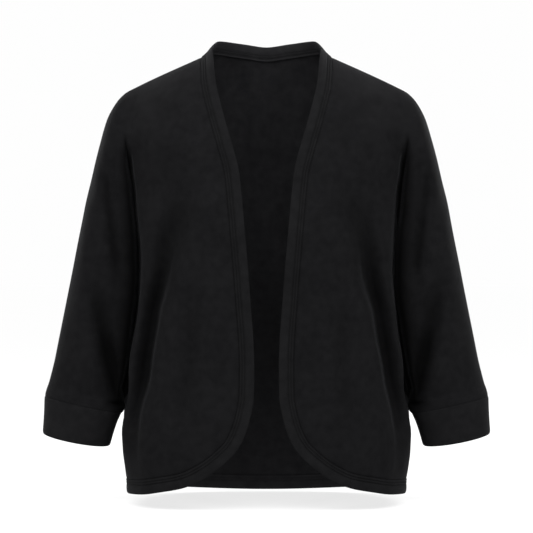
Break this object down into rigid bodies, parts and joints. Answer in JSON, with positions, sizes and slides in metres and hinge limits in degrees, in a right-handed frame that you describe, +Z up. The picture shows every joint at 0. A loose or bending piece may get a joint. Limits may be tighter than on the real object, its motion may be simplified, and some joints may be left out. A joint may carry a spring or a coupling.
{
  "type": "open-front dolman cardigan",
  "caption": "Open-front dolman cardigan with three-quarter sleeves, banded curved front edges, a back neck band, hem bands and deep cuffs, filled out as if worn.",
  "frame": {"origin": "halfway between the two points where the shoulder seams meet the neck band, where the wearer's shoulders hold the garment", "axes": "+Z is up, -Y is the front and +X is the wearer's left"},
  "size_m": [0.6466, 0.2508, 0.6685],
  "materials": {
    "jersey": "matte",
    "band_jersey": "matte"
  },
  "bodies": {
    "root": {"back": "jersey", "front_left": "jersey", "front_right": "jersey", "neck_band": "band_jersey", "band_left": "band_jersey", "band_right": "band_jersey", "hem_back": "band_jersey", "hem_left": "band_jersey", "hem_right": "band_jersey", "cuff_left": "band_jersey", "cuff_right": "band_jersey"}
  },
  "joints": []
}
